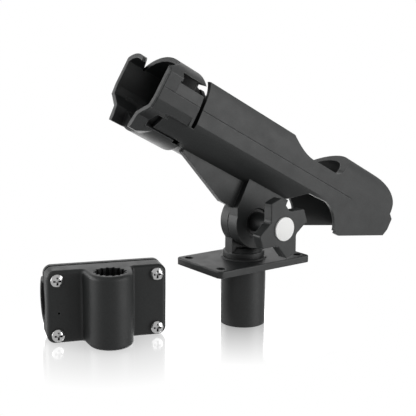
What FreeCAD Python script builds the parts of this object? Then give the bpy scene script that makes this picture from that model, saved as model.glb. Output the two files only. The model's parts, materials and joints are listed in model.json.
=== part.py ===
"""Adjustable rod holder: a tilting cradle with a turning collar on a splined post, its deck socket,
and the two-jaw rail bracket that takes the same post.

World frame, millimetres: origin on the tube axis at the underside of the deck plate, +X towards the
butt of the rod, -X towards the mouth, -Y towards the star knob, +Z up.
The cradle is drawn in its own frame, with x along the rod, y across and z square to both, and its
origin on the tilt pivot.  The bracket is drawn in its own frame, with x along the rail, y from the
socket towards the rear jaw, z up, and its origin at the middle of the split.
"""
import FreeCAD, Part
import math
import os

from FreeCAD import Placement, Rotation, Vector

# ---- general fits (mm)
RUN_GAP = 0.10          # radial, turning on a shaft
SLIDE_GAP = 0.15        # radial, splines and loose sleeves
FACE_GAP = 0.05         # between faces that turn on each other
LOOSE_GAP = 0.40        # between parts that pass each other
EDGE_BREAK = 0.8        # small rounding of moulded edges

# ---- deck socket
PLATE_LENGTH = 85.0
PLATE_WIDTH = 53.0
PLATE_THICK = 5.0
PLATE_CORNER = 3.5
DECK_HOLE_X = 72.0
DECK_HOLE_Y = 38.0
DECK_HOLE_DIA = 6.5
TUBE_DIA = 33.0
TUBE_LENGTH = 45.0
BOSS_HEIGHT = 0.9
BOSS_FILLET = 0.8

# ---- splines shared by the post, the deck socket and the bracket
SPLINE_COUNT = 16
SPLINE_ROOT_DIA = 23.8
SPLINE_DEPTH = 1.5
SPIGOT_LENGTH = 40.0
SPIGOT_LEAD = 2.0

# ---- post
SEAT_WASHER_THICK = 1.1
SEAT_WASHER_WIDTH = 2.4
FLANGE_DIA = 30.6
FLANGE_THICK = 3.3
PIVOT_HEIGHT = 33.6
EAR_RADIUS = 19.0
EAR_THICK = 8.2
EAR_NEAR_FACE = -4.4    # y of the face that the cradle turns against
NECK_WIDTH = 29.0
NECK_FOOT = 3.4

# ---- pivot hardware
BOLT_DIA = 8.0
BOLT_HEAD_AF = 13.0
BOLT_HEAD_THICK = 5.0
FRICTION_DISC_THICK = 1.1
FRICTION_DISC_RADIUS = 17.0
THRUST_WASHER_THICK = 1.6
THRUST_WASHER_RADIUS = 9.2
HUB_RECESS_RADIUS = 10.0
HUB_RECESS_DEPTH = 3.0
SPRING_POCKET_RADIUS = 8.6
SPRING_POCKET_DEPTH = 3.4
SPRING_SHEET = 0.9
SPRING_RISE = 0.7

# ---- star knob
KNOB_RADIUS = 21.8
KNOB_WAIST = 13.4
KNOB_LOBES = 4
KNOB_FIRST_LOBE = 20.0
KNOB_TIP_WIDTH = 7.6
KNOB_TIP_ROUND = 1.6
KNOB_VALLEY = 2.6
KNOB_DEPTH = 7.5
KNOB_SKIN = 2.4
KNOB_BOSS_RADIUS = 7.2
KNOB_FRONT = -44.0      # y of the knob's outer face
CAP_RADIUS = 8.4
CAP_PROUD = 1.7
CAP_SUNK = 1.4
CAP_CROWN = 0.6
INSERT_RADIUS = 5.6
INSERT_LENGTH = 12.0

# ---- cradle
CRADLE_TILT = 27.5      # degrees, mouth up
HALF_WIDTH = 25.0       # radius of the round underside
SIDE_HALF = 24.15       # half the width over the flat sides
WALL = 3.3
ROD_AXIS = 44.5         # height of the rod's axis over the pivot
SIDE_TOP = 24.0         # top edge of the front walls over the rod's axis
FRONT_END = -89.0
TOP_CORNER = -2.0
SADDLE_LEVEL = 14.3     # low top edge over the rod's axis
SADDLE_START = 24.0
SADDLE_END = 47.0
SADDLE_DIP = (7.0, 3.3)     # a point of the curve down to the saddle: x, height over the saddle
SADDLE_RISE = (9.0, 5.5)    # length and height of the curve up to the roof
ROOF_RUN_IN = 6.0
ROOF_LEAN = 0.80
ROOF_RISE = 10.1        # centre of the roof's curve over the rod's axis
REAR_END = 124.0
REAR_STEP = 4.0
REAR_STEP_LEVEL = 7.5
REAR_ROUND = 20.0
TAIL_START = 70.0
TAIL_LOW = 17.8
TAIL_RISE = 17.5
TAIL_HEEL = (3.0, 6.0)
TAIL_TOE = 4.0
STEP_SLOPE = 1.5
WALL_LAP = 0.5          # how far a joined wall reaches into its neighbour
NOTCH_FRONT = 11.0
NOTCH_TOP = 36.0
NOTCH_FRONT_LEVEL = 21.8
NOTCH_CROWN = (30.0, 48.5)
NOTCH_LEDGE = (7.5, 3.6)    # length and rise of the first slope behind the hub
NOTCH_FRONT_BOW = (5.5, 4.6)    # a point of the curve up to the crown: back and down from it
NOTCH_REAR_BOW = (12.0, 5.6)    # a point of the curve down to the tail
CROWN_FALL = 0.6
BLEND_STEPS = 6
BLEND_ANGLE = 78.0      # degrees below the rod's axis
RIM_FRONT = 40.0
RIM_LENGTH = 40.0
RIM_PROUD = 3.0
RIM_DROP = 5.0
UNDER = -60.0           # below everything in the cradle's frame
HUB_RADIUS = 19.4
HUB_THICK = 9.6
HUB_PLATE_FRONT = -22.0
HUB_PLATE_REAR = 21.0
HUB_TOP_LAP = 8.0
HUB_SHOULDERS = (2.0, 4.0)  # heights over the pivot where the plate's front and rear edges end
HUB_CHEEK = 3.0
WEB_THICK = 4.6
WEB_TOP_LAP = 4.0
WEB_FRONT = -81.0
WEB_FOOT = -34.0
WEB_LOW = 1.6

SEAM_WIDTH = 0.45       # witness line of the moulding tool's split
SEAM_DEPTH = 0.3
SEAM_LEVEL = 48.0
SEAM_REAR = 72.0
HUB_TICK = (2.4, 0.8, 0.4)  # length, height and rise of the index mark on the hub
HUB_TICK_DROP = 11.4

# ---- locking collar, drawn about the rod's axis
COLLAR_FRONT = -128.0
COLLAR_REAR = -94.0
COLLAR_REST_TURN = 6.0
MOUTH_DEPTH = 9.5
MOUTH_HALF = 27.0
MOUTH_WALL = 3.2
MOUTH_TOP = 17.8
HOOK_TOP = 22.6
HOOK_DROP = 1.4
HOOK_THICK = 3.0
HOOK_TIP = 9.0
HOOK_SHOULDER = 17.2
HOOK_LAND = 1.5
NEAR_TOP = -20.5
NEAR_SWEEP = 9.0
NEAR_SETBACK = 3.5
NEAR_BOW = (5.5, 2.0)   # a point of the sweep's curve, forward and inward of its end
STEP_HALF = 15.9
STEP_LEVEL = -16.0
SIDE_BEND = -9.0
ARCH_FRONT = -113.5
ARCH_LEVEL = 17.0
ARCH_CROWN = 29.2
WINDOW_FRONT = -115.3
WINDOW_REAR = -93.9
WINDOW_LOW = 13.9
WINDOW_HIGH = 21.0
PANEL_LOW = -8.1
PANEL_FRONT = -116.3
PANEL_FOLD = 6.3        # level of the near panel's fold, where its seam runs
PANEL_LEAN = 1.8        # how far the near panel leans in below the window
COLLAR_SEAM_FRONT = -125.4
RIM_LINE = (-126.9, 0.5, 0.35)  # groove behind the mouth's near rim: start, width and depth
BARREL_WALL = 1.9
CHANNEL_INNER = 21.4
CHANNEL_LOW = 38.0      # degrees from straight down, towards the knob
CHANNEL_HIGH = 117.0
FAR_SIDE_HIGH = 75.0
FAR_SIDE_INNER = 23.0
SEAL_SETBACK = 0.3
LINK_THICK = 2.4
KEEL_HALF = 14.0
KEEL_LOW = -26.1
KEEL_RADIUS = 21.0      # of the rounded underside, drawn about a lower centre
KEEL_DROP = 6.4
KEEL_MOUTH_RADIUS = 30.0
KEEL_BLEND_START = -124.0
KEEL_BLEND_END = -109.0
KEEL_REAR = -85.0
LIP_ANGLE = 33.0
KEEL_HEEL = 3.0
KEEL_SLOT = 9.0
NECK_RADIUS = 19.6
NECK_WALL = 1.9
NECK_REAR = -81.5
LIP_DEPTH = 3.0
LIP_TOP_DROP = 6.0
RING_THICK = 1.4
RING_HEIGHT = 1.9
RING_GROOVE = 0.8
RING_OPENING = 50.0
TONGUE_FRONT = -113.5
TONGUE_LOW = 34.5       # degrees from straight down, towards the knob
TONGUE_HIGH = 66.0
TONGUE_ROOT = 6.0

# ---- rail bracket
BRACKET_PLACE = (-98.3, 36.6)
BRACKET_YAW = -20.1
BRACKET_WIDTH = 84.5
BRACKET_HEIGHT = 52.0
BRACKET_CORNER = 6.0
FRONT_JAW_THICK = 14.1
FRONT_JAW_ROUND = 3.0
REAR_JAW_THICK = 5.7
REAR_JAW_ROUND = 2.0
JAW_SPLIT = 2.6
SOCKET_DIA = 31.6
SOCKET_REACH = 10.0     # socket axis in front of the jaw's face
SOCKET_BASE = 17.7      # half the socket's width where it meets the jaw
SOCKET_FILLET = 2.0
SCREW_X = 70.0
SCREW_Z = 39.2
SCREW_DIA = 5.0
SCREW_LENGTH = 28.0
SCREW_HEAD_RADIUS = 4.5
SCREW_HEAD_HEIGHT = 3.0
SCREW_CROWN = 1.3
CROSS_LENGTH = 5.6
CROSS_WIDTH = 1.4
CROSS_DEPTH = 2.2
NUT_AF = 8.0
NUT_THICK = 4.0
RAIL_RADIUS = 12.7
LINER_THICK = 1.2
FRONT_SADDLE = 3.6
REAR_SADDLE = 18.6
SADDLE_WALL = 3.0
DRAIN_DIA = 1.6
DRAIN_DROP = 4.0
LINER_SETBACK = 0.5

# ---- derived places
BOSS_TOP = PLATE_THICK + BOSS_HEIGHT
FLANGE_LOW = BOSS_TOP + SEAT_WASHER_THICK
FLANGE_TOP = FLANGE_LOW + FLANGE_THICK
HUB_FAR_FACE = EAR_NEAR_FACE - FRICTION_DISC_THICK - 2 * FACE_GAP
HUB_NEAR_FACE = HUB_FAR_FACE - HUB_THICK
EAR_FAR_FACE = EAR_NEAR_FACE + EAR_THICK
RECESS_FLOOR = HUB_NEAR_FACE + HUB_RECESS_DEPTH
BOSS_END = RECESS_FLOOR - THRUST_WASHER_THICK - 2 * FACE_GAP
INNER_HALF = HALF_WIDTH - WALL
BOLT_HOLE_RADIUS = BOLT_DIA / 2 + RUN_GAP
FLOOR = -TUBE_LENGTH


# ---- drawing helpers
def face_xz(outline, y=0.0):
    """Flat face from (x, z) points; an item of two points is an arc's middle and end."""
    return make_face(outline, lambda p: Vector(p[0], y, p[1]))


def face_yz(outline, x=0.0):
    return make_face(outline, lambda p: Vector(x, p[0], p[1]))


def face_xy(outline, z=0.0):
    return make_face(outline, lambda p: Vector(p[0], p[1], z))


def make_face(outline, place):
    edges = []
    last = place(outline[0])
    for item in list(outline[1:]) + [outline[0]]:
        if isinstance(item[0], tuple):
            end = place(item[1])
            edges.append(Part.Arc(last, place(item[0]), end).toShape())
        else:
            end = place(item)
            if last.distanceToPoint(end) > 1e-6:
                edges.append(Part.LineSegment(last, end).toShape())
        last = end
    return Part.Face(Part.Wire(edges))


def box(x0, x1, y0, y1, z0, z1):
    return Part.makeBox(x1 - x0, y1 - y0, z1 - z0, Vector(x0, y0, z0))


def rod_x(radius, x0, x1, y=0.0, z=0.0):
    return Part.makeCylinder(radius, x1 - x0, Vector(x0, y, z), Vector(1, 0, 0))


def rod_y(radius, y0, y1, x=0.0, z=0.0):
    return Part.makeCylinder(radius, y1 - y0, Vector(x, y0, z), Vector(0, 1, 0))


def rod_z(radius, z0, z1, x=0.0, y=0.0):
    return Part.makeCylinder(radius, z1 - z0, Vector(x, y, z0))


def hexagon_y(across_flats, y0, y1, x=0.0, z=0.0):
    radius = across_flats / math.sqrt(3)
    angles = [k * math.pi / 3 for k in range(6)]
    corners = [(x + radius * math.cos(angle), z + radius * math.sin(angle)) for angle in angles]
    return face_xz(corners, y0).extrude(Vector(0, y1 - y0, 0))


def round_edges(shape, radius, wanted):
    edges = [edge for edge in shape.Edges if wanted(edge)]
    return shape.makeFillet(radius, edges)


def polar(radius, degrees):
    """(y, z) about the rod's axis; 0 is straight down and 90 points to the knob's side."""
    angle = math.radians(degrees)
    return (-radius * math.sin(angle), -radius * math.cos(angle))


def sector_x(inner, outer, low, high, x0, x1):
    """Curved pad about the rod's axis between two angles from straight down."""
    middle = (low + high) / 2
    outline = [polar(inner, low), (polar(inner, middle), polar(inner, high)), polar(outer, high)]
    outline.append((polar(outer, middle), polar(outer, low)))
    return face_yz(outline, x0).extrude(Vector(x1 - x0, 0, 0))


def moved(shape, place):
    placed = shape.copy()
    placed.Placement = place.multiply(placed.Placement)
    return placed


def to_world(shape):
    """Cradle frame to world frame."""
    return moved(shape, Placement(Vector(0, 0, PIVOT_HEIGHT), Rotation(Vector(0, 1, 0), CRADLE_TILT)))


def collar_to_cradle(shape):
    """Rod-axis frame to cradle frame, with the collar turned to where it stands."""
    return moved(shape, Placement(Vector(0, 0, ROD_AXIS), Rotation(Vector(1, 0, 0), COLLAR_REST_TURN)))


def bracket_to_world(shape):
    middle = Vector(BRACKET_PLACE[0], BRACKET_PLACE[1], FLOOR + BRACKET_HEIGHT / 2)
    return moved(shape, Placement(middle, Rotation(Vector(0, 0, 1), BRACKET_YAW)))


def save(name, shape):
    solid = shape.removeSplitter() if len(shape.Solids) == 1 else shape
    solid.exportStep("parts/" + name + ".step")
    print(name, len(solid.Solids), round(solid.Volume, 1), solid.isValid())


# ---- splines
def spline_prism(root_dia, depth, z0, z1):
    """Prism with SPLINE_COUNT tapered teeth between the root and the tooth circles."""
    high = root_dia / 2
    low = high - depth
    pitch = 2 * math.pi / SPLINE_COUNT
    outline = []
    for k in range(SPLINE_COUNT):
        for radius, share in ((low, -0.30), (high, -0.14), (high, 0.14), (low, 0.30)):
            angle = (k + share) * pitch
            outline.append((radius * math.cos(angle), radius * math.sin(angle)))
    return face_xy(outline, z0).extrude(Vector(0, 0, z1 - z0))


# ---- deck socket
def deck_socket():
    plate = box(-PLATE_LENGTH / 2, PLATE_LENGTH / 2, -PLATE_WIDTH / 2, PLATE_WIDTH / 2, 0, PLATE_THICK)
    plate = round_edges(plate, PLATE_CORNER, lambda e: abs(e.tangentAt(e.FirstParameter).z) > 0.9)
    plate = round_edges(plate, EDGE_BREAK, lambda e: e.BoundBox.ZMin > PLATE_THICK - 0.01)
    tube = rod_z(TUBE_DIA / 2, -TUBE_LENGTH, BOSS_TOP)
    skirt = Part.makeCone(TUBE_DIA / 2 + BOSS_FILLET, TUBE_DIA / 2, BOSS_FILLET, Vector(0, 0, PLATE_THICK))
    body = plate.fuse([tube, skirt])
    body = body.cut(spline_prism(SPLINE_ROOT_DIA, SPLINE_DEPTH, -TUBE_LENGTH - 1, BOSS_TOP + 1))
    for x in (-DECK_HOLE_X / 2, DECK_HOLE_X / 2):
        for y in (-DECK_HOLE_Y / 2, DECK_HOLE_Y / 2):
            body = body.cut(rod_z(DECK_HOLE_DIA / 2, -1, PLATE_THICK + 1, x, y))
    return body


# ---- post
def post():
    spigot_dia = SPLINE_ROOT_DIA - 2 * SLIDE_GAP
    low = FLANGE_LOW - SPIGOT_LENGTH
    spigot = spline_prism(spigot_dia, SPLINE_DEPTH, low, FLANGE_LOW)
    lead = Part.makeCone(spigot_dia / 2 - SPIGOT_LEAD, spigot_dia / 2, SPIGOT_LEAD, Vector(0, 0, low))
    spigot = spigot.common(lead.fuse(rod_z(spigot_dia / 2, low + SPIGOT_LEAD, FLANGE_LOW)))
    flange = rod_z(FLANGE_DIA / 2, FLANGE_LOW, FLANGE_TOP)
    flange = round_edges(flange, EDGE_BREAK, lambda e: e.BoundBox.ZMin > FLANGE_TOP - 0.01)
    ear = rod_y(EAR_RADIUS, EAR_NEAR_FACE, EAR_FAR_FACE, 0, PIVOT_HEIGHT)
    neck = box(-NECK_WIDTH / 2, NECK_WIDTH / 2, EAR_NEAR_FACE, EAR_FAR_FACE, FLANGE_TOP - 0.5, PIVOT_HEIGHT)
    foot = Part.makeCone(FLANGE_DIA / 2 - EDGE_BREAK, FLANGE_DIA / 2 - NECK_FOOT, NECK_FOOT,
                         Vector(0, 0, FLANGE_TOP - 0.5))
    ear = ear.fuse(neck).common(box(-EAR_RADIUS, EAR_RADIUS, -FLANGE_DIA, FLANGE_DIA, FLANGE_LOW, 99))
    body = spigot.fuse([flange, ear, foot])
    body = body.cut(rod_y(BOLT_HOLE_RADIUS, EAR_NEAR_FACE - 1, EAR_FAR_FACE + 1, 0, PIVOT_HEIGHT))
    pocket = BOLT_HEAD_AF + 2 * RUN_GAP
    head = hexagon_y(pocket, EAR_FAR_FACE - BOLT_HEAD_THICK, EAR_FAR_FACE + 1, 0, PIVOT_HEIGHT)
    return body.cut(head)


def seat_washer():
    outer = FLANGE_DIA / 2 - 0.4
    inner = outer - SEAT_WASHER_WIDTH
    return rod_z(outer, BOSS_TOP, FLANGE_LOW).cut(rod_z(inner, BOSS_TOP - 1, FLANGE_LOW + 1))


# ---- pivot hardware
def pivot_bolt():
    head = hexagon_y(BOLT_HEAD_AF, EAR_FAR_FACE - BOLT_HEAD_THICK, EAR_FAR_FACE, 0, PIVOT_HEIGHT)
    tip = KNOB_FRONT + CAP_SUNK + 1.6
    shank = rod_y(BOLT_DIA / 2, tip, EAR_FAR_FACE - BOLT_HEAD_THICK, 0, PIVOT_HEIGHT)
    return head.fuse(shank)


def friction_disc():
    low = HUB_FAR_FACE + FACE_GAP
    disc = rod_y(FRICTION_DISC_RADIUS, low, low + FRICTION_DISC_THICK, 0, PIVOT_HEIGHT)
    return disc.cut(rod_y(BOLT_HOLE_RADIUS, low - 1, low + FRICTION_DISC_THICK + 1, 0, PIVOT_HEIGHT))


def thrust_washer():
    low = BOSS_END + FACE_GAP
    disc = rod_y(THRUST_WASHER_RADIUS, low, low + THRUST_WASHER_THICK, 0, PIVOT_HEIGHT)
    return disc.cut(rod_y(BOLT_HOLE_RADIUS, low - 1, low + THRUST_WASHER_THICK + 1, 0, PIVOT_HEIGHT))


def disc_springs():
    """Two dished spring washers, rim to rim, in the pocket of the hub's far face."""
    rim = SPRING_POCKET_RADIUS - LOOSE_GAP
    bore = BOLT_HOLE_RADIUS + RUN_GAP
    middle = HUB_FAR_FACE - SPRING_POCKET_DEPTH / 2
    springs = []
    for side in (-1, 1):
        y_rim = middle + side * RUN_GAP / 2
        outline = [(rim, y_rim), (rim, y_rim + side * SPRING_SHEET)]
        outline += [(bore, y_rim + side * (SPRING_SHEET + SPRING_RISE)), (bore, y_rim + side * SPRING_RISE)]
        washer = face_xy(outline).revolve(Vector(0, 0, 0), Vector(0, 1, 0), 360)
        washer.translate(Vector(0, 0, PIVOT_HEIGHT))
        springs.append(washer)
    return Part.makeCompound(springs)


# ---- star knob
def knob_outline(shrink):
    """Lobes with flat tips, straight flanks and rounded valleys, in the knob's own plane."""
    half_tip = KNOB_TIP_WIDTH / 2 - shrink
    tip = KNOB_RADIUS - shrink
    waist = KNOB_WAIST - shrink
    step = 360.0 / KNOB_LOBES
    corner = KNOB_TIP_ROUND
    bend = corner * (1 - math.sqrt(0.5))
    outline = []
    for k in range(KNOB_LOBES):
        angle = math.radians(KNOB_FIRST_LOBE + k * step)
        valley = angle + math.radians(step / 2)
        outline.append(turned(tip - corner, -half_tip - corner, angle))
        outline.append((turned(tip - bend, -half_tip - corner + bend, angle),
                        turned(tip, -half_tip, angle)))
        outline.append(turned(tip, half_tip, angle))
        outline.append((turned(tip - bend, half_tip + corner - bend, angle),
                        turned(tip - corner, half_tip + corner, angle)))
        outline.append(turned(waist + 0.9, -KNOB_VALLEY, valley))
        outline.append((turned(waist, 0, valley), turned(waist + 0.9, KNOB_VALLEY, valley)))
    return outline


def turned(along, across, angle):
    cosine, sine = math.cos(angle), math.sin(angle)
    return (along * cosine - across * sine, along * sine + across * cosine)


def star_knob():
    back = KNOB_FRONT + KNOB_DEPTH
    solid = face_xz(knob_outline(0), KNOB_FRONT).extrude(Vector(0, KNOB_DEPTH, 0))
    solid = round_edges(solid, EDGE_BREAK, lambda e: e.BoundBox.YMax < KNOB_FRONT + 0.01)
    hollow = face_xz(knob_outline(KNOB_SKIN), KNOB_FRONT + KNOB_SKIN).extrude(Vector(0, KNOB_DEPTH, 0))
    solid = solid.cut(hollow)
    boss = rod_y(KNOB_BOSS_RADIUS, KNOB_FRONT + KNOB_SKIN - 0.2, BOSS_END)
    solid = solid.fuse(boss)
    solid = solid.cut(rod_y(CAP_RADIUS + RUN_GAP, KNOB_FRONT - 1, KNOB_FRONT + CAP_SUNK))
    solid = solid.cut(rod_y(BOLT_DIA / 2 + LOOSE_GAP, KNOB_FRONT, BOSS_END + 1))
    insert_start = KNOB_FRONT + CAP_SUNK
    solid = solid.cut(rod_y(INSERT_RADIUS, insert_start, insert_start + INSERT_LENGTH))
    solid.translate(Vector(0, 0, PIVOT_HEIGHT))
    return solid


def knob_insert():
    start = KNOB_FRONT + CAP_SUNK
    body = rod_y(INSERT_RADIUS, start, start + INSERT_LENGTH, 0, PIVOT_HEIGHT)
    return body.cut(rod_y(BOLT_HOLE_RADIUS, start - 1, start + INSERT_LENGTH + 1, 0, PIVOT_HEIGHT))


def knob_cap():
    """Round plug with a slightly domed face."""
    disc = rod_y(CAP_RADIUS, KNOB_FRONT - CAP_PROUD, KNOB_FRONT + CAP_SUNK)
    dome = (CAP_RADIUS ** 2 + CAP_CROWN ** 2) / (2 * CAP_CROWN)
    cap = disc.common(Part.makeSphere(dome, Vector(0, KNOB_FRONT - CAP_PROUD + dome, 0)))
    cap.translate(Vector(0, 0, PIVOT_HEIGHT))
    return cap


# ---- cradle body
def side_outline():
    """Side view of the cradle without its hub and web."""
    rim = ROD_AXIS + SIDE_TOP
    saddle = ROD_AXIS + SADDLE_LEVEL
    roof = ROD_AXIS + ROOF_RISE + HALF_WIDTH
    roof_front = SADDLE_END + ROOF_RUN_IN + (roof - saddle) * ROOF_LEAN
    step = ROD_AXIS + REAR_STEP_LEVEL
    upper_rear = REAR_END - REAR_STEP
    tail_rear_low = TAIL_LOW + TAIL_RISE
    bottom = ROD_AXIS - HALF_WIDTH
    dip_x, dip_z = SADDLE_DIP
    rise_x, rise_z = SADDLE_RISE
    outline = [(FRONT_END, bottom), (FRONT_END, rim), (TOP_CORNER, rim)]
    outline.append(((dip_x, saddle + dip_z), (SADDLE_START, saddle)))
    outline.append((SADDLE_END, saddle))
    outline.append(((SADDLE_END + 0.6 * rise_x, saddle + 0.3 * rise_z),
                    (SADDLE_END + rise_x, saddle + rise_z)))
    outline += [(roof_front, roof), (upper_rear - REAR_ROUND, roof)]
    bend = REAR_ROUND * (1 - math.sqrt(0.5))
    outline.append(((upper_rear - bend, roof - bend), (upper_rear, roof - REAR_ROUND)))
    heel_x, heel_z = TAIL_HEEL
    outline += [(upper_rear, step + STEP_SLOPE), (REAR_END, step - STEP_SLOPE)]
    outline += [(REAR_END - 0.5, tail_rear_low + heel_z), (REAR_END - heel_x, tail_rear_low)]
    outline += [(TAIL_START + TAIL_TOE, TAIL_LOW), (TAIL_START - 1, TAIL_LOW), (TAIL_START - 1, bottom)]
    return outline


def notch_outline():
    """Side view of the gap under the cradle between the hub and the tail."""
    low = UNDER
    crown_start, crown_end = NOTCH_CROWN
    start_level = NOTCH_FRONT_LEVEL
    rear = TAIL_START - 3
    outline = [(NOTCH_FRONT, low), (NOTCH_FRONT, start_level)]
    ledge_x, ledge_z = NOTCH_LEDGE
    front_x, front_z = NOTCH_FRONT_BOW
    rear_x, rear_z = NOTCH_REAR_BOW
    outline.append((NOTCH_FRONT + ledge_x, start_level + ledge_z))
    outline.append(((crown_start - front_x, NOTCH_TOP - front_z), (crown_start, NOTCH_TOP - CROWN_FALL)))
    outline.append((crown_end, NOTCH_TOP))
    outline.append(((crown_end + rear_x, NOTCH_TOP - rear_z), (rear, TAIL_LOW + 2)))
    outline.append((rear, low))
    return outline


def closed_section(half, side, low_centre, roof):
    """Section with a bottom of radius half, flat sides that cut it in a crease, and a round roof."""
    crease = low_centre - math.sqrt(half ** 2 - side ** 2)
    eaves = roof - side
    outline = [(-side, crease), (-side, eaves), ((0, roof), (side, eaves)), (side, crease)]
    outline.append(((0, low_centre - half), (-side, crease)))
    return outline


def open_section(side, low, roof):
    eaves = roof - side
    return [(-side, low), (-side, eaves), ((0, roof), (side, eaves)), (side, low)]


def blend_wire(half, side, roof, spread, x):
    """Section whose lower sides are round at spread 0 and upright at spread 1."""
    eaves = roof - side
    crease = math.acos(side / half)
    step = (math.radians(BLEND_ANGLE) - crease) / BLEND_STEPS
    angles = [crease + step * k for k in range(BLEND_STEPS + 1)]
    widths = [side * spread + half * (1 - spread) * math.cos(a) for a in angles]
    flank = [(y, ROD_AXIS - half * math.sin(a)) for y, a in zip(widths, angles)]
    outline = [(-y, z) for y, z in flank[::-1]] + [(-side, eaves), ((0, roof), (side, eaves))] + flank
    return face_yz(outline, x).OuterWire


def cradle_shell(half, side, front, rear):
    """Envelope along the rod: round-bottomed, then spreading to upright open sides at the tail."""
    roof = ROD_AXIS + ROOF_RISE + half
    split, spread = NOTCH_CROWN
    trough = face_yz(closed_section(half, side, ROD_AXIS, roof), front).extrude(Vector(split - front, 0, 0))
    ends = [blend_wire(half, side, roof, 0, split), blend_wire(half, side, roof, 1, spread)]
    blend = Part.makeLoft(ends, True, True)
    tail = face_yz(open_section(side, UNDER, roof), spread).extrude(Vector(rear - spread, 0, 0))
    return trough.fuse([blend, tail])


def rim_pad():
    """Thicker wall inside the opening where the rod's butt leaves the cradle."""
    centre = ROD_AXIS + ROOF_RISE
    rear = RIM_FRONT + RIM_LENGTH
    wide, narrow = INNER_HALF + WALL_LAP, INNER_HALF - RIM_PROUD
    outer = face_yz(closed_section(wide, wide, centre, centre + wide), RIM_FRONT)
    inner = face_yz(closed_section(narrow, narrow, centre, centre + narrow), RIM_FRONT - 1)
    ring = outer.extrude(Vector(RIM_LENGTH, 0, 0)).cut(inner.extrude(Vector(RIM_LENGTH + 2, 0, 0)))
    low = ROD_AXIS + SADDLE_LEVEL - RIM_DROP
    high = centre + HALF_WIDTH
    ring = ring.common(box(RIM_FRONT, rear, -HALF_WIDTH, HALF_WIDTH, low, high))
    half_length = RIM_LENGTH / 2
    edge = [(RIM_FRONT, low - 1), (RIM_FRONT + half_length, low - 1)]
    edge += [(rear, low - 1 + half_length / ROOF_LEAN), (rear, high), (RIM_FRONT, high)]
    return ring.common(face_xz(edge, -HALF_WIDTH).extrude(Vector(0, 2 * HALF_WIDTH, 0)))


def hub_plate():
    top = ROD_AXIS - HALF_WIDTH + HUB_TOP_LAP
    front_level, rear_level = HUB_SHOULDERS
    outline = [(HUB_PLATE_FRONT, top), (HUB_PLATE_FRONT, front_level), (-HUB_RADIUS, -HUB_CHEEK)]
    outline += [(HUB_RADIUS, -HUB_CHEEK), (HUB_PLATE_REAR, rear_level), (HUB_PLATE_REAR - 1, top)]
    plate = face_xz(outline, HUB_NEAR_FACE).extrude(Vector(0, HUB_THICK, 0))
    disc = rod_y(HUB_RADIUS, HUB_NEAR_FACE, HUB_FAR_FACE)
    return plate.fuse(disc)


def web():
    low = ROD_AXIS - HALF_WIDTH
    top = low + WEB_TOP_LAP
    outline = [(WEB_FRONT, top), (WEB_FRONT, low), (WEB_FOOT, WEB_LOW), (HUB_PLATE_FRONT + 2, WEB_LOW)]
    outline.append((HUB_PLATE_FRONT + 2, top))
    return face_xz(outline, HUB_FAR_FACE - WEB_THICK).extrude(Vector(0, WEB_THICK, 0))


def cradle_body():
    envelope = cradle_shell(HALF_WIDTH, SIDE_HALF, FRONT_END, REAR_END)
    side = face_xz(side_outline(), -HALF_WIDTH - 5).extrude(Vector(0, 2 * HALF_WIDTH + 10, 0))
    outer = envelope.common(side)
    outer = outer.fuse([hub_plate(), web()])
    inner = cradle_shell(INNER_HALF, INNER_HALF, FRONT_END - 1, REAR_END - REAR_STEP - WALL)
    outer = outer.cut(inner).fuse(rim_pad().common(side))
    notch = face_xz(notch_outline(), -HALF_WIDTH - 5).extrude(Vector(0, 2 * HALF_WIDTH + 10, 0))
    hub_zone = rod_y(HUB_RADIUS, HUB_NEAR_FACE, HUB_FAR_FACE).fuse(
        box(0, HUB_PLATE_REAR - 1, HUB_NEAR_FACE, HUB_FAR_FACE, 0, NOTCH_FRONT_LEVEL + 3))
    outer = outer.cut(notch.cut(hub_zone))
    outer = outer.fuse(front_lip())
    outer = outer.fuse(tongue())
    outer = outer.cut(rod_y(BOLT_HOLE_RADIUS, HUB_NEAR_FACE - 1, HUB_FAR_FACE + 1))
    outer = outer.cut(rod_y(HUB_RECESS_RADIUS, HUB_NEAR_FACE - 1, RECESS_FLOOR))
    outer = outer.cut(rod_y(SPRING_POCKET_RADIUS, HUB_FAR_FACE - SPRING_POCKET_DEPTH, HUB_FAR_FACE + 1))
    length, height, rise = HUB_TICK
    low = -HUB_TICK_DROP - height
    tick = box(-length / 2, length / 2, HUB_NEAR_FACE - rise, HUB_NEAR_FACE, low, -HUB_TICK_DROP)
    return outer.fuse(tick).cut(side_seams())


def side_seams():
    """Fine grooves along both flat sides."""
    depth = SIDE_HALF - SEAM_DEPTH
    low, high = SEAM_LEVEL - SEAM_WIDTH / 2, SEAM_LEVEL + SEAM_WIDTH / 2
    near = box(FRONT_END - 1, SEAM_REAR, -HALF_WIDTH - 1, -depth, low, high)
    return near.fuse(box(FRONT_END - 1, SEAM_REAR, depth, HALF_WIDTH + 1, low, high))


def front_lip():
    """Inner lip at the front end that the collar's neck turns in."""
    gap = NECK_RADIUS + LOOSE_GAP
    lip_rear = FRONT_END + LIP_DEPTH
    half = INNER_HALF + WALL_LAP
    ring = rod_x(half, FRONT_END, lip_rear).cut(rod_x(gap, FRONT_END - 1, lip_rear + 1))
    sides = box(FRONT_END, lip_rear, -half, half, -half, SIDE_TOP - LIP_TOP_DROP)
    ring = ring.common(sides)
    ring.translate(Vector(0, 0, ROD_AXIS))
    return ring


def tongue():
    """Pad that reaches forward into the collar's passage and stops its turn."""
    inner = CHANNEL_INNER + LOOSE_GAP
    pad = sector_x(inner, HALF_WIDTH, TONGUE_LOW, TONGUE_HIGH, TONGUE_FRONT, FRONT_END + TONGUE_ROOT)
    pad.translate(Vector(0, 0, ROD_AXIS))
    return pad


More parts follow.
